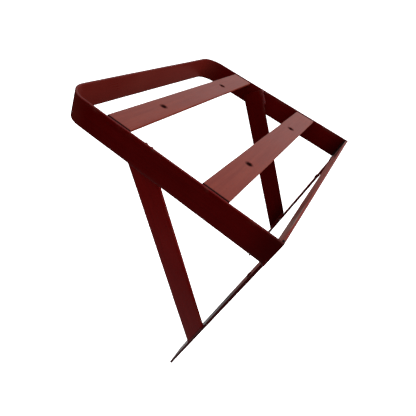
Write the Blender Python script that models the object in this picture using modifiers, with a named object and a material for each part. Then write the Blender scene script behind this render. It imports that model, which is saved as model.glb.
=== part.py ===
"""Wall-hung luggage rack welded from painted flat bar.

Frame: metres, +Z up, +Y out of the face that lies against the wall, +X to one side. The origin is the
centre of the back bar's rear face. Every bar is the same stock, and every joint is a weld, so nothing
moves. Names ending in right are on the +X side.
"""

import bpy
import bmesh
from math import cos, pi, sin
from mathutils import Matrix, Vector

# Driving dimensions
WIDTH = 0.450  # across the rails, outside
DEPTH = 0.350  # wall face to the front of the hoop
BAR = 0.040  # width of the flat bar
THICK = 0.004  # thickness of the flat bar
CORNER_RADIUS = 0.034  # outside of the hoop's two front bends
STRAP_DROP = 0.350  # top of the rack to the straps' lower ends
CROSS_BAR_Y = {"front": -0.256, "rear": -0.098}
CROSS_BAR_SINK = 0.0005  # tops of the cross bars below the rails' top edges
CROSS_BAR_PLAY = 0.0024  # open joint at each end of a cross bar
SLAT_HOLE = 0.008  # holes in the cross bars
SLAT_HOLE_X = 0.108
BRACE_MID = Vector((0.0, -0.217, 0.0))  # the braces' centre lines, at mid height of the rails
BRACE_END = Vector((0.0, -THICK, -0.218))  # and at the straps
RIVET_Z = -0.065
RIVET_SHANK = 0.006
RIVET_HEAD = 0.010
RIVET_RISE = 0.0018
BEAD_LEG = 0.0034  # leg of a weld's fillet
BEAD_END = 0.003  # welds stop this far short of a bar's edges
TOP_BEAD = 0.030  # length of the weld at a brace's top
TOP_BEAD_DROP = 0.0008  # its upper end, below the brace's top corner
SEAM_WIDTH = 0.006  # flat weld over a strap's butt joint
SEAM_RISE = 0.0012

GAP = 0.0003  # left between touching pieces
EDGE = 0.0005  # rounding of the bars' edges
BEND_STEPS = 10
BEAD_STEPS = 6
DOME_STEPS = 6
ROUND_STEPS = 24
SIDES = {"left": -1, "right": 1}

# Worked out from the above
HALF = BAR / 2
INSIDE = WIDTH / 2 - THICK  # rails' inner faces
BRACE_OUT = INSIDE - GAP  # braces' outer faces
STRAP_X = INSIDE - HALF
STRAP_TOP = -HALF - GAP
STRAP_END = HALF - STRAP_DROP
CROSS_BAR_Z = HALF - CROSS_BAR_SINK - THICK / 2
ALONG = (BRACE_END - BRACE_MID).normalized()  # down a brace, towards the wall
ACROSS = Vector((0, -ALONG.z, ALONG.y))  # across a brace, up and back

X, Y, Z = Vector((1, 0, 0)), Vector((0, 1, 0)), Vector((0, 0, 1))

PAINT = (0.045, 0.004, 0.005)
PAINT_TOP = (0.11, 0.035, 0.032)
BEAD = (0.03, 0.003, 0.004)


def clear_scene():
    for old in list(bpy.data.objects):
        bpy.data.objects.remove(old, do_unlink=True)


def new_collection(name):
    collection = bpy.data.collections.new(name)
    bpy.context.scene.collection.children.link(collection)
    return collection


def paint(obj, colour, roughness):
    material = bpy.data.materials.new(obj.name + "_paint")
    material.use_nodes = True
    shader = material.node_tree.nodes["Principled BSDF"]
    shader.inputs["Base Color"].default_value = (*colour, 1)
    shader.inputs["Roughness"].default_value = roughness
    shader.inputs["Metallic"].default_value = 0.0
    obj.data.materials.append(material)


def placed(origin, u, v):
    """Turns local X and Y to u and v, with local Z following, and moves the object to origin."""
    rotation = Matrix((u, v, u.cross(v))).transposed()
    return Matrix.Translation(origin) @ rotation.to_4x4()


def round_edges(obj):
    weld = obj.modifiers.new("Weld", "WELD")
    weld.merge_threshold = 0.00001
    bevel = obj.modifiers.new("Edges", "BEVEL")
    bevel.width = EDGE
    bevel.segments = 2
    bevel.limit_method = "ANGLE"
    bevel.angle_limit = pi / 4


def plate(name, outline, thickness, matrix, rounded=True):
    """A flat outline given thickness, half on each side of its plane."""
    curve = bpy.data.curves.new(name, "CURVE")
    curve.dimensions = "2D"
    curve.fill_mode = "BOTH"
    curve.extrude = thickness / 2
    spline = curve.splines.new("POLY")
    spline.points.add(len(outline) - 1)
    for point, (u, v) in zip(spline.points, outline):
        point.co = (u, v, 0, 1)
    spline.use_cyclic_u = True
    obj = bpy.data.objects.new(name, curve)
    obj.matrix_world = matrix
    rack.objects.link(obj)
    if rounded:
        round_edges(obj)
    paint(obj, PAINT if rounded else BEAD, 0.4 if rounded else 0.5)
    return obj


def box(name, size, centre, colour=PAINT):
    """A bar that is cut later, so it is a mesh from the start."""
    mesh = bpy.data.meshes.new(name)
    shape = bmesh.new()
    bmesh.ops.create_cube(shape, size=1, matrix=Matrix.Diagonal((*size, 1)))
    shape.to_mesh(mesh)
    shape.free()
    obj = bpy.data.objects.new(name, mesh)
    obj.location = centre
    rack.objects.link(obj)
    paint(obj, colour, 0.4)
    return obj


def drill(obj, centre, diameter, axis):
    """A round hole right through the bar."""
    mesh = bpy.data.meshes.new(obj.name + "_drill")
    shape = bmesh.new()
    radius = diameter / 2
    bmesh.ops.create_cone(
        shape, cap_ends=True, segments=ROUND_STEPS, radius1=radius, radius2=radius, depth=THICK * 4
    )
    shape.to_mesh(mesh)
    shape.free()
    cutter = bpy.data.objects.new(mesh.name, mesh)
    cutter.matrix_world = Matrix.Translation(centre) @ Z.rotation_difference(axis).to_matrix().to_4x4()
    cutter.hide_render = True
    cutter.display_type = "WIRE"
    cutters.objects.link(cutter)
    cut = obj.modifiers.new("Hole", "BOOLEAN")
    cut.operation = "DIFFERENCE"
    cut.solver = "EXACT"
    cut.object = cutter


def arc(centre, radius, start, end, steps=BEND_STEPS):
    angles = [start + (end - start) * i / steps for i in range(steps + 1)]
    return [(centre[0] + radius * cos(a), centre[1] + radius * sin(a)) for a in angles]


def hoop():
    """The two rails and the front bar, one length of flat bar on edge, bent at the front corners."""
    bend_x, bend_y = WIDTH / 2 - CORNER_RADIUS, CORNER_RADIUS - DEPTH
    outline = []
    for radius, edge, turn in ((CORNER_RADIUS, WIDTH / 2, 1), (CORNER_RADIUS - THICK, INSIDE, -1)):
        right = arc((bend_x, bend_y), radius, 0, -pi / 2)
        left = arc((-bend_x, bend_y), radius, -pi / 2, -pi)
        path = [(edge, 0)] + right + left + [(-edge, 0)]
        outline += path[::turn]
    plate("hoop", outline, BAR, placed(Vector(), X, Y))


def back_bar():
    """The bar on edge across the back, between the rails' ends."""
    length = 2 * (INSIDE - GAP)
    bar = box("back_bar", (length, THICK, BAR), (0, -THICK / 2, 0))
    round_edges(bar)


def cross_bars():
    """Two bars lying flat between the rails, each with two holes."""
    for name, y in CROSS_BAR_Y.items():
        size = (2 * (INSIDE - CROSS_BAR_PLAY), BAR, THICK)
        bar = box("cross_bar_" + name, size, (0, y, CROSS_BAR_Z), PAINT_TOP)
        for side in SIDES.values():
            drill(bar, (side * SLAT_HOLE_X, y, CROSS_BAR_Z), SLAT_HOLE, Z)
        round_edges(bar)


def straps():
    """Two upright bars in the wall plane, butted to the back bar's lower edge."""
    for side_name, side in SIDES.items():
        height = STRAP_TOP - STRAP_END
        centre = (side * STRAP_X, -THICK / 2, (STRAP_TOP + STRAP_END) / 2)
        bar = box("strap_" + side_name, (BAR, THICK, height), centre)
        drill(bar, (side * STRAP_X, -THICK / 2, RIVET_Z), RIVET_SHANK + 2 * GAP, Y)
        round_edges(bar)


def rivets():
    """A dome-headed rivet in each strap, just below the back bar: a turned shape."""
    reach = RIVET_HEAD / 2
    profile = [(0, THICK / 2 + RIVET_RISE + GAP)]
    for i in range(1, DOME_STEPS + 1):
        angle = i / DOME_STEPS * pi / 2
        profile.append((reach * sin(angle), THICK / 2 + GAP + RIVET_RISE * cos(angle)))
    profile += [(RIVET_SHANK / 2, THICK / 2 + GAP), (RIVET_SHANK / 2, -THICK / 2), (0, -THICK / 2)]
    for side_name, side in SIDES.items():
        mesh = bpy.data.meshes.new("rivet_" + side_name)
        mesh.from_pydata([(r, 0, h) for r, h in profile], [(i, i + 1) for i in range(len(profile) - 1)], [])
        rivet = bpy.data.objects.new(mesh.name, mesh)
        centre = Vector((side * STRAP_X, -THICK / 2, RIVET_Z))
        rivet.matrix_world = placed(centre, X, Z)
        rack.objects.link(rivet)
        turn = rivet.modifiers.new("Turn", "SCREW")
        turn.steps = turn.render_steps = ROUND_STEPS
        turn.use_merge_vertices = True
        turn.merge_threshold = 0.00001
        paint(rivet, BEAD, 0.45)


def braces():
    """A sloping bar inside each rail: its top is cut square, its foot is cut to the strap."""
    top_back = BRACE_MID + ACROSS * HALF
    top_back -= ALONG * ((HALF - CROSS_BAR_SINK - top_back.z) / -ALONG.z)
    top_front = top_back - ACROSS * BAR
    foot_y = -THICK - GAP
    foot_front = top_front + ALONG * ((foot_y - top_front.y) / ALONG.y)
    foot_back = top_back + ALONG * ((foot_y - top_back.y) / ALONG.y)
    outline = [(p.y, p.z) for p in (top_back, top_front, foot_front, foot_back)]
    for side_name, side in SIDES.items():
        centre = Vector((side * (BRACE_OUT - THICK / 2), 0, 0))
        plate("brace_" + side_name, outline, THICK, placed(centre, Y, Z))
        top_weld(side_name, side, top_back)
        foot_weld(side_name, side, (foot_front.z + foot_back.z) / 2, foot_back.z - foot_front.z)


def bead_section(leg):
    """A fillet's section: two legs from the corner and a bulging face between them."""
    inset = leg * 0.12
    bulge = arc((inset, inset), leg - inset, 0, pi / 2, BEAD_STEPS)
    return [(0, 0), (leg, 0)] + bulge[1:-1] + [(0, leg)]


def bead(name, corner, u, v, length):
    """A fillet bead of the given length, centred on corner, in the angle between u and v."""
    away = (u + v) * GAP
    plate(name, bead_section(BEAD_LEG), length, placed(corner + away, u, v), rounded=False)


def top_weld(side_name, side, top_back):
    """The bead down the back edge of a brace, from its top corner, a little proud of the rail."""
    centre = top_back + ALONG * (TOP_BEAD_DROP / -ALONG.z + TOP_BEAD / 2)
    centre.x = side * INSIDE
    bead("weld_brace_" + side_name, centre, -side * X, ACROSS, TOP_BEAD)


def foot_weld(side_name, side, middle, height):
    """The bead down the inner side of a brace's foot."""
    corner = Vector((side * (BRACE_OUT - THICK), -THICK, middle))
    bead("weld_foot_" + side_name, corner, -side * X, -Y, height - 2 * BEAD_END)


def frame_welds():
    """The beads inside the back corners, over the strap butts and under the cross bars' ends."""
    for side_name, side in SIDES.items():
        corner = Vector((side * (INSIDE - GAP), -THICK, 0))
        bead("weld_corner_" + side_name, corner, -side * X, -Y, BAR - 2 * BEAD_END)
        angles = [pi * i / (2 * BEAD_STEPS) for i in range(2 * BEAD_STEPS + 1)]
        section = [(-SEAM_WIDTH / 2 * cos(a), SEAM_RISE * sin(a)) for a in angles]
        over = Vector((side * STRAP_X, -THICK - GAP, -HALF - GAP / 2))
        length = BAR - 2 * BEAD_END
        plate("weld_strap_" + side_name, section, length, placed(over, Z, -Y), rounded=False)
        for name, y in CROSS_BAR_Y.items():
            corner = Vector((side * INSIDE, y, CROSS_BAR_Z - THICK / 2))
            bead(f"weld_cross_{name}_{side_name}", corner, -side * X, -Z, BAR - 2 * BEAD_END)


clear_scene()
rack = new_collection("luggage_rack")
cutters = new_collection("cutters")
hoop()
back_bar()
cross_bars()
straps()
rivets()
braces()
frame_welds()
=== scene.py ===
"""Looks of the wall-hung luggage rack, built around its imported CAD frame.

Metres, +Z up, the wall at +Y. Each bar is swept again at the size and place of its CAD node, with the
rolled corners, slight waves, drilled holes and saw-cut ends of real flat bar. Each weld is a rippled bead
with blobs and spatter, in the place of its plain CAD solid.
"""

import math

import bpy
import bmesh
from mathutils import Euler, Matrix, Vector, noise

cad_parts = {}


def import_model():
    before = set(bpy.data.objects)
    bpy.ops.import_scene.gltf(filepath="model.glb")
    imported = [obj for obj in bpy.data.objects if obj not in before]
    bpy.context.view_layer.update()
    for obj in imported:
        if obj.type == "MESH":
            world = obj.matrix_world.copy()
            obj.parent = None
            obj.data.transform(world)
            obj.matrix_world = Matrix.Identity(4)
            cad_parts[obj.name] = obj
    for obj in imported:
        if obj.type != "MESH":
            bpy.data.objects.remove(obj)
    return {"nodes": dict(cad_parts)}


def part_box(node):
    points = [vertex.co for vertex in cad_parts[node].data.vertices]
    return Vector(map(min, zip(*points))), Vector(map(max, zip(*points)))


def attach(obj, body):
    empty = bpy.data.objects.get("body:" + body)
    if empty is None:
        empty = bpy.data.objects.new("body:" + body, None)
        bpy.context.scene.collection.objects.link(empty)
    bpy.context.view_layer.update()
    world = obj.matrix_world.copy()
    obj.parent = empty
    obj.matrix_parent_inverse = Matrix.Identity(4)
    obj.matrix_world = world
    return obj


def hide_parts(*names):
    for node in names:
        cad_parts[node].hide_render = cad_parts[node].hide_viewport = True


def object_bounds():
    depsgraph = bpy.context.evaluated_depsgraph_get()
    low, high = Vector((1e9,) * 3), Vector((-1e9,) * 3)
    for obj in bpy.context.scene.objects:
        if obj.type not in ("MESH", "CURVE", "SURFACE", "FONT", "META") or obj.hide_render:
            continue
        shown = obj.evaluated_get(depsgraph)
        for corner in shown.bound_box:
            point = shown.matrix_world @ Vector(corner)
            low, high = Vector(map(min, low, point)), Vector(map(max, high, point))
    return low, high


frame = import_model()
cad_low, cad_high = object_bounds()

BODY = "root"
SIDES = {"left": -1, "right": 1}
PLACES = ("front", "rear")
X, Y, Z = Vector((1, 0, 0)), Vector((0, 1, 0)), Vector((0, 0, 1))
MM = 0.001

HOLE = 8 * MM  # holes in the slats, at this X on each side
HOLE_X = 108 * MM
RIVET_HOLE = 6.6 * MM
BEND_RADIUS = 34 * MM  # outside of the hoop's bends
CORNER = 0.7 * MM  # rolled corners of the bar
STATION = 3.5 * MM  # spacing of the rings along a bar
CORNER_STEPS = 3
FACE_STEPS = 7
RIVET_SHANK = 3 * MM
# Legs of the weld beads, from the line where two faces meet.
CORNER_LEG, BRACE_LEG, FOOT_LEG, STRAP_LEG, CROSS_LEG = 4.2 * MM, 4.4 * MM, 3.9 * MM, 3.0 * MM, 3.8 * MM
FOOT_BACK_LEG = 1.3 * MM  # the smaller bead on a brace foot's outer side
CROSS_DROP = 2.2 * MM  # how far the slats' beads sit below their CAD solids, to leave the slots dark
SHADED_END, SHADED_END_FADE = 3.2 * MM, 4.4 * MM  # painted shade on the slats' ends, standing for the dark slots along the rails, measured from the rails
HOLE_SHADE, HOLE_SHADE_FADE = 5.4 * MM, 6.8 * MM  # painted shade: dark rings round the holes, standing for the shading in the holes

BODY_RED, FADED_RED = (0.066, 0.0002, 0.0002), (0.084, 0.0008, 0.0006)
# a lighter copy of the frame paint for the near (right) brace: painted light
LIT_BRACE_RED, LIT_BRACE_FADED = (0.112, 0.0012, 0.0009), (0.135, 0.0025, 0.0020)
BACK_RED, BACK_FADED = (0.115, 0.0120, 0.0080), (0.140, 0.0200, 0.0140)
SLAT_RED, SLAT_FADED = (0.122, 0.0110, 0.0050), (0.150, 0.0210, 0.0105)
# near-black paint for the welds in the slots under the slats' ends and at the back corners: painted shade
SHADE_NEAR_BLACK, SHADE_NEAR_BLACK_FADED = (0.010, 0.0006, 0.0005), (0.016, 0.0014, 0.0012)
PRIMER = (0.085, 0.030, 0.022)
# a lighter red for the front bar and bends: painted light
FRONT_LIGHT_RED = (0.088, 0.0095, 0.0065)
# a lighter red for the back bar's inner face, which faces away from the lamps: painted light
INNER_PAINTED_LIGHT = (0.150, 0.042, 0.034)
# grey for patches on the back bar's inner face: a painted reflection at positive X, paint rubbed to steel at
# negative X
BARE_STEEL_AND_SHEEN = (0.22, 0.18, 0.16)
# near-black colour of the painted shade on the slats' ends and round their holes
PAINTED_SHADE_DARK = (0.022, 0.0012, 0.0010)

hoop_low, hoop_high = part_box("hoop")
back_low, back_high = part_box("back_bar")
brace_low, brace_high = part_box("brace_right")
width = hoop_high[0] - hoop_low[0]
bar = hoop_high[2] - hoop_low[2]
thick = back_high[1] - back_low[1]
inside = width / 2 - thick  # from the middle to a rail's inner face


# ---------------------------------------------------------------- materials


def nodes_for(name):
    """A new material, its node tree and its shader."""
    material = bpy.data.materials.new(name)
    material.use_nodes = True
    tree = material.node_tree
    return material, tree, tree.nodes["Principled BSDF"]


def link(tree, source, output, target, socket):
    tree.links.new(source.outputs[output], target.inputs[socket])


def noise_at(tree, coords, output, stretch, scale, detail=4.0, roughness=0.6):
    """Noise over coordinates in metres, drawn out along an axis by stretch."""
    mapping = tree.nodes.new("ShaderNodeMapping")
    mapping.inputs["Scale"].default_value = stretch
    link(tree, coords, output, mapping, "Vector")
    texture = tree.nodes.new("ShaderNodeTexNoise")
    texture.inputs["Scale"].default_value = scale
    texture.inputs["Detail"].default_value = detail
    texture.inputs["Roughness"].default_value = roughness
    link(tree, mapping, "Vector", texture, "Vector")
    return texture


def ramp(tree, source, output, stops):
    """A colour ramp whose stops are (place, grey) or (place, (r, g, b))."""
    node = tree.nodes.new("ShaderNodeValToRGB")
    elements = node.color_ramp.elements
    while len(elements) < len(stops):
        elements.new(0.5)
    for element, (place, colour) in zip(elements, stops):
        element.position = place
        element.color = (*colour, 1) if isinstance(colour, tuple) else (colour, colour, colour, 1)
    link(tree, source, output, node, "Fac")
    return node.outputs["Color"]


def mixed(tree, factor, first, second, blend="MIX"):
    """Blends two colours, each an output socket or a plain colour, by a mask socket or a number."""
    node = tree.nodes.new("ShaderNodeMix")
    node.data_type = "RGBA"
    node.blend_type = blend
    for value, socket in ((factor, node.inputs[0]), (first, node.inputs[6]), (second, node.inputs[7])):
        if isinstance(value, bpy.types.NodeSocket):
            tree.links.new(value, socket)
        else:
            socket.default_value = (*value, 1) if isinstance(value, tuple) else value
    return node.outputs[2]


def product(tree, first, second):
    return mixed(tree, 1.0, first, second, "MULTIPLY")


def scaled(tree, mask, weight):
    return product(tree, mask, (weight,) * 3)


def smooth_band(tree, place, axis, start, full, last, end):
    """A mask that rises from start to full along an axis, and falls from last to end."""
    masks = []
    for zero, one in ((start, full), (end, last)):
        node = tree.nodes.new("ShaderNodeMapRange")
        node.interpolation_type = "SMOOTHSTEP"
        low, high = min(zero, one), max(zero, one)
        node.inputs["From Min"].default_value = low
        node.inputs["From Max"].default_value = high
        if zero > one:
            node.inputs["To Min"].default_value = 1
            node.inputs["To Max"].default_value = 0
        link(tree, place, axis, node, "Value")
        masks.append(node.outputs["Result"])
    return product(tree, masks[0], masks[1])


def summed(tree, parts):
    """Adds up (socket, weight) pairs."""
    total = None
    for socket, weight in parts:
        node = tree.nodes.new("ShaderNodeMath")
        node.operation = "MULTIPLY_ADD"
        tree.links.new(socket, node.inputs[0])
        node.inputs[1].default_value = weight
        if total is not None:
            tree.links.new(total, node.inputs[2])
        else:
            node.inputs[2].default_value = 0
        total = node.outputs[0]
    return total


def light_front_painted(tree, place, clouds, colour):
    """Lightens the hoop's paint in clouds along its front bar and bends: painted light on the front."""
    front = hoop_low[1]
    band = smooth_band(tree, place, "Y", front - 10 * MM, front - 5 * MM, front + 8 * MM, front + 50 * MM)
    cloudy = ramp(tree, clouds, "Fac", ((0.35, 0.55), (0.65, 0.95)))
    return mixed(tree, product(tree, band, cloudy), colour, FRONT_LIGHT_RED)


def rub_bare_and_paint_sheen(tree, place, patches, colour, stretches):
    """Lightens the back bar's inner face as painted light, and paints grey patches on it along stretches of
    X, partly a painted reflection and partly paint rubbed to grey steel.
    """
    inner = smooth_band(tree, place, "Y", -50 * MM, -49 * MM, 0.4 * MM - thick, 1.0 * MM - thick)
    # painted light: the inner face is lightened
    colour = mixed(tree, scaled(tree, inner, 0.75), colour, INNER_PAINTED_LIGHT)
    for start, end in stretches:
        # grey patches: a painted reflection in the stretch at positive X, paint rubbed to steel in the one at
        # negative X
        grey_patch = smooth_band(tree, place, "X", start, start + 20 * MM, end - 20 * MM, end)
        grey_patch = product(tree, grey_patch, ramp(tree, patches, "Fac", ((0.38, 0.15), (0.60, 0.80))))
        colour = mixed(tree, product(tree, grey_patch, inner), colour, BARE_STEEL_AND_SHEEN)
    return colour


def slat_painted_shade(tree, coords, holes):
    """Masks of the painted shade on a slat's ends, for the dark slots at the rails, and of the painted shade
    in rings round its holes, the same on both sides.
    """
    mirrored = tree.nodes.new("ShaderNodeVectorMath")
    mirrored.operation = "ABSOLUTE"
    link(tree, coords, "Object", mirrored, 0)
    place = tree.nodes.new("ShaderNodeSeparateXYZ")
    link(tree, mirrored, "Vector", place, "Vector")
    # painted shade: the slat's last millimetres at each rail are darkened to stand for the dark slot
    masks = [smooth_band(tree, place, "X", inside - SHADED_END_FADE, inside - SHADED_END, width, 2 * width)]
    for centre in holes:
        distance = tree.nodes.new("ShaderNodeVectorMath")
        distance.operation = "DISTANCE"
        distance.inputs[1].default_value = [abs(c) for c in centre]
        link(tree, mirrored, "Vector", distance, 0)
        # painted shade: a dark ring round each hole
        masks.append(ramp(tree, distance, "Value", ((HOLE_SHADE, 1.0), (HOLE_SHADE_FADE, 0.0))))
    return masks


def paint(name, body, faded, roughness, specular, rust=0.6, back_shade=0.0, bare_and_sheen=(), holes=()):
    """Old brushed-on paint over rolled bar.

    Brush streaks run along the bar (the UV map is in metres: along it and around it), with cloudy fading,
    dark specks of grime, scratches, orange peel, pits, and corners worn to brown primer where the wear
    attribute says.
    A weight for the hoop's paint darkens it towards the wall as painted shade, and goes with a front
    lightened as painted light. A list of stretches of the back bar's X gives grey patches on its inner face,
    partly a painted reflection and partly paint rubbed to steel, and holes lists the slats' hole centres on
    one side of the rack.
    """
    material, tree, shader = nodes_for(name)
    coords = tree.nodes.new("ShaderNodeTexCoord")
    clouds = noise_at(tree, coords, "Object", (1, 1, 1), 11.0, 6.0)
    patches = noise_at(tree, coords, "Object", (1, 1, 1), 38.0, 7.0, 0.7)
    streaks = noise_at(tree, coords, "UV", (9, 210, 1), 1.0, 5.0, 0.65)
    hairs = noise_at(tree, coords, "UV", (40, 1500, 1), 1.0, 3.0, 0.7)
    peel = noise_at(tree, coords, "Object", (1, 1, 1), 650.0, 2.0)
    specks = noise_at(tree, coords, "Object", (1, 1, 1), 330.0, 3.0, 0.75)
    wear = tree.nodes.new("ShaderNodeAttribute")
    wear.attribute_name = "wear"

    cloud_mask = ramp(tree, clouds, "Fac", ((0.36, 0.0), (0.66, 1.0)))
    streak_mask = ramp(tree, streaks, "Fac", ((0.40, 0.0), (0.70, 1.0)))
    hair_mask = ramp(tree, hairs, "Fac", ((0.60, 0.0), (0.74, 0.7)))
    speck_mask = ramp(tree, specks, "Fac", ((0.64, 0.0), (0.70, 0.75)))
    patch_mask = ramp(tree, patches, "Fac", ((0.50, 0.0), (0.62, 1.0)))
    worn = scaled(tree, product(tree, wear.outputs["Color"], patch_mask), rust)

    colour = mixed(tree, cloud_mask, body, faded)
    colour = mixed(tree, streak_mask, colour, tuple(c * 0.92 for c in body))
    colour = mixed(tree, hair_mask, colour, tuple(min(1.0, c * 1.5 + 0.002) for c in faded))
    colour = mixed(tree, speck_mask, colour, tuple(c * 0.4 for c in body))
    colour = mixed(tree, worn, colour, PRIMER)
    place = tree.nodes.new("ShaderNodeSeparateXYZ")
    link(tree, coords, "Object", place, "Vector")
    if back_shade:
        # painted shade: the hoop darkens towards the wall, at its back corners
        back_shade_mask = smooth_band(tree, place, "Y", -45 * MM, -4 * MM, -4 * MM, 20 * MM)
        colour = mixed(tree, scaled(tree, back_shade_mask, back_shade), colour, tuple(c * 0.25 for c in body))
        # painted light: the front bar and bends are lightened
        colour = light_front_painted(tree, place, clouds, colour)
    if bare_and_sheen:
        colour = rub_bare_and_paint_sheen(tree, place, patches, colour, bare_and_sheen)
    # painted shade on the slats' ends and round their holes
    shade_masks = slat_painted_shade(tree, coords, holes) if holes else ()
    for mask in shade_masks:
        colour = mixed(tree, mask, colour, PAINTED_SHADE_DARK)
    tree.links.new(colour, shader.inputs["Base Color"])

    gloss = ramp(tree, clouds, "Fac", ((0.3, roughness - 0.06), (0.7, roughness + 0.08)))
    gloss = mixed(tree, streak_mask, gloss, (roughness + 0.03,) * 3)
    gloss = mixed(tree, worn, gloss, (0.75,) * 3)
    for mask in shade_masks:
        gloss = mixed(tree, mask, gloss, (1.0,) * 3)
    tree.links.new(gloss, shader.inputs["Roughness"])
    shader.inputs["Specular IOR Level"].default_value = specular

    parts = ((streaks.outputs["Fac"], 0.10), (hairs.outputs["Fac"], 0.05), (peel.outputs["Fac"], 0.15))
    height = summed(tree, parts + ((speck_mask, -0.25), (worn, -0.35)))
    bump = tree.nodes.new("ShaderNodeBump")
    bump.inputs["Strength"].default_value = 0.4
    bump.inputs["Distance"].default_value = 0.25 * MM
    tree.links.new(height, bump.inputs["Height"])
    link(tree, bump, "Normal", shader, "Normal")
    return material


# ---------------------------------------------------------------- pieces


def finish_piece(shape, name, material, replaced, sharp=35):
    """Turns a bmesh into a piece that rides on the rack and stands for its CAD nodes.

    What would stand out of the rack's box, such as a weld behind the wall face, is ground flush with it.
    """
    for vertex in shape.verts:
        for axis in range(3):
            vertex.co[axis] = min(max(vertex.co[axis], cad_low[axis]), cad_high[axis])
    mesh = bpy.data.meshes.new(name)
    shape.to_mesh(mesh)
    shape.free()
    mesh.shade_smooth()
    mesh.set_sharp_from_angle(angle=math.radians(sharp))
    mesh.materials.append(material)
    obj = bpy.data.objects.new(name, mesh)
    bpy.context.scene.collection.objects.link(obj)
    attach(obj, BODY)
    if replaced:
        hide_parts(*replaced)
    return obj


def bar_section(width, thick):
    """Points round a flat bar with rolled corners: (across, out, wear), anticlockwise."""
    half_w, half_t = width / 2, thick / 2
    corners = []
    for k, (sign_w, sign_t) in enumerate(((1, 1), (-1, 1), (-1, -1), (1, -1))):
        centre_w, centre_t = sign_w * (half_w - CORNER), sign_t * (half_t - CORNER)
        for i in range(CORNER_STEPS + 1):
            a = math.pi / 2 * (k + i / CORNER_STEPS)
            worn = 0.55 + 0.45 * (1 - abs(2 * i / CORNER_STEPS - 1))
            corners.append((centre_w + CORNER * math.cos(a), centre_t + CORNER * math.sin(a), worn))
    points = []
    for i, (w, t, worn) in enumerate(corners):
        points.append((w, t, worn))
        next_w, next_t, _ = corners[(i + 1) % len(corners)]
        if abs(next_w - w) > width / 2:
            for j in range(1, FACE_STEPS):
                f = j / FACE_STEPS
                points.append((w + (next_w - w) * f, t + (next_t - t) * f, 0.0))
    return points


def waves(place, seed, size, amount):
    """A smooth random offset along a bar."""
    return noise.noise(Vector((place / size, seed * 7.3, seed * 1.7))) * amount


def swept_bar(path, length, width, thick, seed, end_slant=0.0, low_wear=1.0):
    """A bmesh of flat bar along path(s) -> (centre, across, out), with slightly rounded, sawn ends.

    low_wear scales the wear of the corners on the bar's negative side across.
    """
    section = bar_section(width, thick)
    around = [0.0]
    for (w0, t0, _), (w1, t1, _) in zip(section, section[1:] + section[:1]):
        around.append(around[-1] + math.hypot(w1 - w0, t1 - t0))
    steps = max(2, round(length / STATION))
    inset = 0.45 * MM
    rings = [(0.0, inset), (0.4 * inset / length, 0.35 * inset), (1.4 * inset / length, 0.0)]
    rings += [(i / steps, 0.0) for i in range(1, steps)]
    rings += [(1 - f, cut) for f, cut in reversed(rings[:3])]

    shape = bmesh.new()
    wear_layer = shape.verts.layers.float_color.new("wear")
    uv_layer = shape.loops.layers.uv.new("metres")
    loops = []
    for f, cut in rings:
        loop = []
        for w, t, worn in section:
            w_in = w - math.copysign(cut, w) if abs(w) > width / 2 - CORNER else w
            t_in = t - math.copysign(cut, t)
            s = (length + end_slant * w) * f
            centre, across, out = path(s)
            bow = waves(s, seed, 0.11, 0.22 * MM) + waves(s, seed + 3, 0.023, 0.05 * MM)
            edge = waves(s, seed + 9 + (w > 0), 0.05, 0.16 * MM) * abs(w) / (width / 2)
            point = centre + across * (w_in + edge) + out * (t_in + bow)
            vertex = shape.verts.new(point)
            end_wear = 0.9 if cut > 0 else 0.0
            value = max(worn, end_wear) * (low_wear if w < 0 else 1)
            vertex[wear_layer] = (value, value, value, 1)
            loop.append(vertex)
        loops.append((f * length, loop))
    count = len(section)
    for (s0, ring0), (s1, ring1) in zip(loops, loops[1:]):
        for i in range(count):
            j = (i + 1) % count
            face = shape.faces.new((ring0[i], ring0[j], ring1[j], ring1[i]))
            places = ((s0, around[i]), (s0, around[i + 1]), (s1, around[i + 1]), (s1, around[i]))
            for corner, place in zip(face.loops, places):
                corner[uv_layer].uv = place
    for (s, ring), turn in ((loops[0], -1), (loops[-1], 1)):
        face = shape.faces.new(ring[::turn])
        for corner, (w, t, _) in zip(face.loops, section[::turn]):
            corner[uv_layer].uv = (s + t, w)
    bmesh.ops.recalc_face_normals(shape, faces=shape.faces)
    return shape


def drilled(obj, centre, radius, axis, steps=40):
    """Cuts a round hole, with its rims just broken, through a finished bar."""
    chamfer = 0.12 * MM
    low, high = box_of_piece(obj)
    depth = min(high[i] - low[i] for i in range(3)) / 2 + 0.2 * MM
    wide = radius + chamfer + 0.4 * MM
    profile = [(0, depth + MM), (wide, depth + MM), (wide, depth), (radius, depth - wide + radius)]
    profile += [(r, -h) for r, h in reversed(profile)]
    tool = bmesh.new()
    turned(tool, profile, placed(centre, axis), steps)
    mesh = bpy.data.meshes.new("drill")
    tool.to_mesh(mesh)
    tool.free()
    cutter = bpy.data.objects.new("drill", mesh)
    bpy.context.scene.collection.objects.link(cutter)
    cut = obj.modifiers.new("Hole", "BOOLEAN")
    cut.solver = "EXACT"
    cut.object = cutter
    bpy.context.view_layer.update()
    drilled_mesh = bpy.data.meshes.new_from_object(obj.evaluated_get(bpy.context.evaluated_depsgraph_get()))
    obj.modifiers.clear()
    obj.data = drilled_mesh
    obj.data.set_sharp_from_angle(angle=math.radians(35))
    bpy.data.objects.remove(cutter)


def box_of_piece(obj):
    """A piece's own lowest and highest corners."""
    xs, ys, zs = zip(*((obj.matrix_world @ v.co) for v in obj.data.vertices))
    return Vector((min(xs), min(ys), min(zs))), Vector((max(xs), max(ys), max(zs)))


def placed(centre, axis):
    """A matrix that puts local Z along axis, at centre."""
    return Matrix.Translation(centre) @ Z.rotation_difference(axis).to_matrix().to_4x4()


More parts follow.
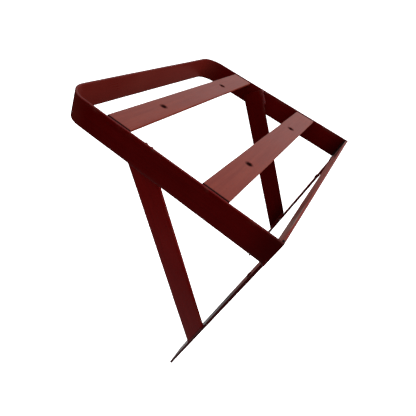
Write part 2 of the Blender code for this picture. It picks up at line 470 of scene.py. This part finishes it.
def turned(shape, profile, matrix, steps=40):
    """Spins (radius, height) points round local Z into a closed skin, added to a bmesh."""
    rings = []
    for r, h in profile:
        if r == 0:
            rings.append([shape.verts.new(matrix @ Vector((0, 0, h)))])
        else:
            angles = [2 * math.pi * i / steps for i in range(steps)]
            ring = [Vector((r * math.cos(a), r * math.sin(a), h)) for a in angles]
            rings.append([shape.verts.new(matrix @ point) for point in ring])
    for ring0, ring1 in zip(rings, rings[1:]):
        for i in range(steps):
            j = (i + 1) % steps
            places = ((ring0, i), (ring1, i), (ring1, j), (ring0, j))
            corners = [ring[k % len(ring)] for ring, k in places]
            shape.faces.new(list(dict.fromkeys(corners)))
    bmesh.ops.recalc_face_normals(shape, faces=shape.faces)


def blob(shape, centre, radii, seed, roughness=0.18):
    """A lump of weld metal: a ball pushed about by noise, added to a bmesh."""
    made = bmesh.ops.create_icosphere(shape, subdivisions=3, radius=1.0)
    for vertex in made["verts"]:
        direction = vertex.co.copy()
        swell = 1 + roughness * noise.noise(direction * 1.9 + Vector((seed, 0, 0)))
        vertex.co = centre + Vector(direction[i] * radii[i] * swell for i in range(3))


def weld_bead(shape, start, end, u, v, leg, seed, pitch=2.3 * MM):
    """A fillet weld between two faces that leave its line along u and v, in overlapping ripples."""
    along = (end - start).normalized()
    length = (end - start).length
    steps = max(12, round(length / (0.45 * MM)))
    across_steps = 12
    sunk = -(u + v) * 0.25 * leg
    rings = []
    for i in range(steps + 1):
        s = length * i / steps
        ends = min(1.0, s / (1.3 * leg), (length - s) / (1.3 * leg))
        taper = math.sqrt(max(0.03, 1 - (1 - ends) ** 2))
        ring = [start + along * s + sunk * taper]
        for k in range(across_steps + 1):
            t = k / across_steps
            angle = math.pi / 2 * (-0.06 + 1.12 * t)
            crescent = s - 1.1 * MM * (1 - (2 * t - 1) ** 2)
            phase = (crescent / pitch + waves(s, seed, 0.009, 0.5)) % 1.0
            ripple = 0.10 * (phase ** 0.6) * (1 - phase) * 2.2
            swell = 1 + waves(s, seed + 5, 0.006, 0.28) + ripple * math.sin(math.pi * t)
            flat = 0.80 + 0.10 * abs(2 * t - 1) ** 2
            reach = leg * taper * swell * flat
            ring.append(start + along * s + (u * math.cos(angle) + v * math.sin(angle)) * reach)
        rings.append([shape.verts.new(p) for p in ring])
    count = len(rings[0])
    for ring0, ring1 in zip(rings, rings[1:]):
        for i in range(count):
            j = (i + 1) % count
            shape.faces.new((ring0[i], ring0[j], ring1[j], ring1[i]))
    shape.faces.new(rings[0][::-1])
    shape.faces.new(rings[-1])


def straight(origin, along, across):
    """The path of a straight bar: its frame at any distance from origin."""
    out = across.cross(along)
    return lambda s: (origin + along * s, across, out)


def hoop_path():
    """Right rail from the wall to the front, round the two bends, and back along the left rail."""
    radius = BEND_RADIUS - thick / 2
    half = width / 2 - thick / 2
    front = hoop_low[1] + thick / 2
    rail, bend, span = -(front + radius), radius * math.pi / 2, 2 * (half - radius)
    legs = (rail, bend, span, bend, rail)

    def at(s):
        places = [sum(legs[:i]) for i in range(6)]
        if s <= places[1]:
            return Vector((half, -s, 0)), X
        if s < places[2]:
            a = (s - places[1]) / radius
            out = Vector((math.cos(a), -math.sin(a), 0))
            return Vector((half - radius, front + radius, 0)) + out * radius, out
        if s <= places[3]:
            return Vector((half - radius - (s - places[2]), front, 0)), -Y
        if s < places[4]:
            a = (s - places[3]) / radius
            out = Vector((-math.sin(a), -math.cos(a), 0))
            return Vector((-half + radius, front + radius, 0)) + out * radius, out
        return Vector((-half, front + radius + (s - places[4]), 0)), -X

    return (lambda s: (at(s)[0], Z, at(s)[1])), sum(legs)


def make_bars(rail_paint, back_paint, slat_paint):
    path, length = hoop_path()
    shape = swept_bar(path, length, bar, thick, 1, low_wear=0.25)
    finish_piece(shape, "hoop_bar", rail_paint, ["hoop"])

    start = Vector((back_low[0], (back_low[1] + back_high[1]) / 2, 0))
    shape = swept_bar(straight(start, X, Z), back_high[0] - back_low[0], bar, thick, 2, low_wear=0.25)
    finish_piece(shape, "back_bar_steel", back_paint, ["back_bar"])

    for seed, place in enumerate(PLACES, 3):
        low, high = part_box("cross_bar_" + place)
        middle = (low + high) / 2
        start = Vector((low[0], middle[1], middle[2]))
        shape = swept_bar(straight(start, X, Y), high[0] - low[0], high[1] - low[1], high[2] - low[2], seed)
        slat = finish_piece(shape, f"slat_{place}", slat_paint, ["cross_bar_" + place])
        for side in SIDES.values():
            drilled(slat, Vector((side * HOLE_X, middle[1], middle[2])), HOLE / 2, Z)

    for side_name, side in SIDES.items():
        low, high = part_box("strap_" + side_name)
        middle = (low + high) / 2
        start = Vector((middle[0], middle[1], high[2]))
        seed = 5 + side
        shape = swept_bar(straight(start, -Z, X), high[2] - low[2], high[0] - low[0], thick, seed)
        node = "strap_" + side_name
        strap = finish_piece(shape, node + "_bar", rail_paint, [node])
        rivet_low, rivet_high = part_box("rivet_" + side_name)
        centre = (rivet_low + rivet_high) / 2
        drilled(strap, Vector((centre[0], middle[1], centre[2])), RIVET_HOLE / 2, Y)


def brace_frame():
    """Direction down a brace, direction across it, and its top back corner, all at X = 0."""
    points = [v.co for v in frame["nodes"]["brace_right"].data.vertices]
    top_back = max(points, key=lambda p: p.z)
    foot_back = max((p for p in points if p.y > brace_high[1] - MM), key=lambda p: p.z)
    top_back, foot_back = Vector((0, top_back.y, top_back.z)), Vector((0, foot_back.y, foot_back.z))
    along = (foot_back - top_back).normalized()
    return along, Vector((0, -along.z, along.y)), top_back


def make_braces(paints):
    along, across, top_back = brace_frame()
    slant = -across.y / along.y
    for side_name, side in SIDES.items():
        low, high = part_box("brace_" + side_name)
        start = top_back - across * (bar / 2)
        start.x = (low[0] + high[0]) / 2
        length = (high[1] - start.y) / along.y
        shape = swept_bar(straight(start, along, across), length, bar, thick, 8 + side, slant)
        node = "brace_" + side_name
        finish_piece(shape, node + "_bar", paints[side_name], [node])


def make_rivets(material):
    for side_name in SIDES:
        low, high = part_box("rivet_" + side_name)
        centre = (low + high) / 2
        reach, rise = (high[0] - low[0]) / 2, high[1] - low[1] - thick
        face = low[1] + rise
        steps = 12
        profile = [(0, rise)]
        for i in range(1, steps + 1):
            a = math.pi / 2 * i / steps
            profile.append((reach * math.sin(a) ** 0.9, rise * math.cos(a)))
        tail = -thick - 0.1 * MM
        profile += [(RIVET_SHANK, 0), (RIVET_SHANK, -thick), (RIVET_SHANK - 0.8 * MM, tail), (0, tail)]
        shape = bmesh.new()
        turned(shape, profile, placed(Vector((centre[0], face, centre[2])), -Y), 36)
        finish_piece(shape, f"rivet_{side_name}_dome", material, ["rivet_" + side_name])


def finish_weld(shape, node, material):
    finish_piece(shape, node + "_bead", material, [node], 60)


def corner_weld(side_name, side, material):
    """Between a rail and the back bar, with a lump on top."""
    shape = bmesh.new()
    inward = -side * X
    corner = Vector((side * inside, back_low[1], 0))
    weld_bead(shape, corner + Z * 19 * MM, corner - Z * 19 * MM, inward, -Y, CORNER_LEG, 11 + side)
    lump = corner + inward * 2 * MM + Y * 1.4 * MM + Z * 19.6 * MM
    blob(shape, lump, (2.4 * MM, 1.7 * MM, 1.5 * MM), 13 + side)
    finish_weld(shape, "weld_corner_" + side_name, material)


def brace_weld(side_name, side, material):
    """Along a brace's top back edge on the rail, with two lumps and a line of spatter."""
    along, across, top_back = brace_frame()
    shape = bmesh.new()
    inward = -side * X
    start = top_back.copy()
    start.x = side * inside
    weld_bead(shape, start - along * 0.5 * MM, start + along * 34 * MM, inward, across, BRACE_LEG, 21 + side)
    lump = start + Vector((-side * MM, 1.5 * MM, -1.3 * MM))
    blob(shape, lump, (2.2 * MM, 2.6 * MM, 2.2 * MM), 1 + side)
    lump = start + Vector((-side * MM, 11 * MM, -2.0 * MM))
    blob(shape, lump, (1.9 * MM, 2.8 * MM, 2.7 * MM), 4 + side)
    for i in range(9):
        drift = noise.noise(Vector((i * 3.7, side, 0))) * 22 * MM
        spread = Vector((0, drift + 6 * MM, -(2 + 2.6 * i) * MM))
        size = (0.7 + 0.5 * abs(noise.noise(Vector((i * 5.1, 2, side))))) * MM
        blob(shape, start + spread + inward * 0.3 * MM, (size,) * 3, i)
    finish_weld(shape, "weld_brace_" + side_name, material)


def foot_weld(side_name, side, material):
    """Down both sides of a brace's foot on its strap."""
    shape = bmesh.new()
    node = "weld_foot_" + side_name
    low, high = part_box(node)
    foot = Vector((side * brace_low[0], -thick, high[2] + 2 * MM))
    end = Vector((foot.x, foot.y, low[2] - 2 * MM))
    weld_bead(shape, foot, end, -side * X, -Y, FOOT_LEG, 31 + side)
    outer = Vector((side * brace_high[0], -thick - 0.2 * MM, high[2]))
    end = Vector((outer.x, outer.y, low[2]))
    weld_bead(shape, outer, end, side * X, Y, FOOT_BACK_LEG, 35 + side)
    finish_weld(shape, node, material)


def strap_weld(side_name, side, material):
    """Across a strap's top under the back bar, with two lumps at the rail."""
    shape = bmesh.new()
    node = "weld_strap_" + side_name
    low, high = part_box(node)
    rail_bottom = hoop_low[2]
    left = Vector((low[0], back_low[1] + 0.5 * MM, rail_bottom))
    right = Vector((high[0], left.y, left.z))
    weld_bead(shape, left, right, (-Y + Z).normalized(), (-Y - Z).normalized(), STRAP_LEG, 41 + side)
    lump = Vector((side * (inside + 1.0 * MM), -1.6 * MM, rail_bottom + 1.0 * MM))
    blob(shape, lump, (4.2 * MM, 3.2 * MM, 4.6 * MM), 7 + side)
    blob(shape, lump + Vector((0, -1.0 * MM, 6.5 * MM)), (3.4 * MM, 2.3 * MM, 4.5 * MM), 9 + side)
    finish_weld(shape, node, material)


def cross_weld(place, side_name, side, material):
    """Under a slat's end, in the slot along the rail."""
    shape = bmesh.new()
    node = f"weld_cross_{place}_{side_name}"
    low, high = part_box(node)
    start = Vector((side * inside, low[1] - 2 * MM, high[2] - CROSS_DROP))
    end = Vector((side * inside, high[1] + 2 * MM, high[2] - CROSS_DROP))
    weld_bead(shape, start, end, -side * X, -Z, CROSS_LEG, 51 + side)
    finish_weld(shape, node, material)


def make_welds(material, weld_shade):
    for side_name, side in SIDES.items():
        # the corner welds and the welds in the slots take the near-black paint: painted shade
        corner_weld(side_name, side, weld_shade)
        brace_weld(side_name, side, material)
        foot_weld(side_name, side, material)
        strap_weld(side_name, side, material)
        for place in PLACES:
            cross_weld(place, side_name, side, weld_shade)


# ---------------------------------------------------------------- stage, light and camera


def floor():
    """A plain pale floor, well below the rack, that sweeps up and closes overhead as a plain backdrop."""
    reach, rise, drop, steps = 12.0, 7.0, 1.0, 24
    turns = [math.pi * i / steps for i in range(steps + 1)]
    sweep = [(0.0, 0.0)]
    sweep += [(reach + rise * math.sin(a), rise * (1 - math.cos(a))) for a in turns]
    sweep += [(0.0, 2 * rise)]
    mesh = bpy.data.meshes.new("floor")
    shape = bmesh.new()
    rim = [shape.verts.new((r, 0, z)) for r, z in sweep]
    edges = [shape.edges.new(pair) for pair in zip(rim, rim[1:])]
    bmesh.ops.spin(shape, geom=rim + edges, cent=(0, 0, 0), axis=(0, 0, 1), angle=2 * math.pi, steps=64)
    bmesh.ops.remove_doubles(shape, verts=shape.verts, dist=0.001)
    bmesh.ops.recalc_face_normals(shape, faces=shape.faces)
    shape.to_mesh(mesh)
    shape.free()
    mesh.shade_smooth()
    material, tree, shader = nodes_for("floor_white")
    coords = tree.nodes.new("ShaderNodeTexCoord")
    mottle = noise_at(tree, coords, "Object", (1, 1, 1), 1.5)
    tint = ramp(tree, mottle, "Fac", ((0.3, 0.93), (0.7, 0.96)))
    tree.links.new(tint, shader.inputs["Base Color"])
    tree.links.new(tint, shader.inputs["Emission Color"])
    shader.inputs["Emission Strength"].default_value = 1.05
    shader.inputs["Roughness"].default_value = 0.9
    mesh.materials.append(material)
    ground = bpy.data.objects.new("floor", mesh)
    ground.location = (0, 0, cad_low[2] - drop)
    bpy.context.scene.collection.objects.link(ground)
    ground.visible_glossy = ground.visible_diffuse = ground.visible_shadow = False


def world():
    """A soft studio dome: bright overhead, dark below its horizon, and pale straight below."""
    scene = bpy.context.scene
    scene.world = bpy.data.worlds.new("studio_dome")
    scene.world.use_nodes = True
    tree = scene.world.node_tree
    background = tree.nodes["Background"]
    coords = tree.nodes.new("ShaderNodeTexCoord")
    split = tree.nodes.new("ShaderNodeSeparateXYZ")
    link(tree, coords, "Generated", split, "Vector")
    height = tree.nodes.new("ShaderNodeMapRange")
    height.inputs["From Min"].default_value = -1
    link(tree, split, "Z", height, "Value")
    stops = ((0.0, 0.8), (0.10, 0.8), (0.18, 0.02), (0.40, 0.01), (0.5, 0.25), (0.62, 0.85), (1.0, 1.1))
    tree.links.new(ramp(tree, height, "Result", stops), background.inputs["Color"])


def soft_light(name, size, place, target, watts, colour=(1, 1, 1)):
    data = bpy.data.lights.new(name, "AREA")
    data.shape = "DISK"
    data.size = size
    data.energy = watts
    data.color = colour
    lamp = bpy.data.objects.new(name, data)
    lamp.location = place
    lamp.visible_camera = False
    lamp.rotation_euler = (Vector(target) - Vector(place)).to_track_quat("-Z", "Y").to_euler()
    bpy.context.scene.collection.objects.link(lamp)


def camera():
    """Above and outside the right rail, close to the wall plane, looking down across the rack."""
    data = bpy.data.cameras.new("camera")
    data.lens = 28.972
    data.shift_x, data.shift_y = 0.1514, 0.0673
    view = bpy.data.objects.new("camera", data)
    view.location = (0.5655, -0.0377, 0.2370)
    view.rotation_euler = Euler([math.radians(a) for a in (43.190, -18.225, 127.099)], "XYZ")
    bpy.context.scene.collection.objects.link(view)
    bpy.context.scene.camera = view


# the hoop's paint: painted shade towards the wall and painted light on the front
rail_paint = paint("frame_paint_worn", BODY_RED, FADED_RED, 0.30, 0.05, back_shade=0.6)
# grey patches on the back bar: a painted reflection at positive X, paint rubbed to steel at negative X
bare_and_sheen_stretches = ((0.11, 0.20), (-0.23, -0.18))
back_paint = paint("back_bar_paint_worn", BACK_RED, BACK_FADED, 0.34, 0.06, bare_and_sheen=bare_and_sheen_stretches)
slat_middles = [sum(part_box("cross_bar_" + place), Vector()) / 2 for place in PLACES]
slat_holes = [Vector((HOLE_X, middle[1], middle[2])) for middle in slat_middles]
slat_paint = paint("slat_paint_worn", SLAT_RED, SLAT_FADED, 0.34, 0.165, rust=0.35, holes=slat_holes)
# painted light: the near brace gets a lighter copy of the frame paint
lit_brace_paint = paint("brace_paint_worn_lit", LIT_BRACE_RED, LIT_BRACE_FADED, 0.30, 0.06, rust=0.4)
weld_paint = paint("weld_paint_worn", BODY_RED, FADED_RED, 0.34, 0.15, rust=0.2)
# painted shade: near-black weld paint for the dark slots and the dark pit at the back corners
weld_shade_paint = paint("weld_paint_shade", SHADE_NEAR_BLACK, SHADE_NEAR_BLACK_FADED, 0.55, 0.10, rust=0.1)
make_bars(rail_paint, back_paint, slat_paint)
# painted light: the right brace takes the lighter paint
make_braces({"left": rail_paint, "right": lit_brace_paint})
make_rivets(weld_paint)
make_welds(weld_paint, weld_shade_paint)

floor()
world()
soft_light("overhead", 2.5, (-0.7, 1.7, 1.6), (0, -0.15, 0), 62)
soft_light("side_card", 2.4, (-2.0, 0.20, -0.79), (0, -0.1, 0), 8, (1.0, 0.38, 0.33))
camera()
bpy.context.scene.view_settings.view_transform = "Standard"
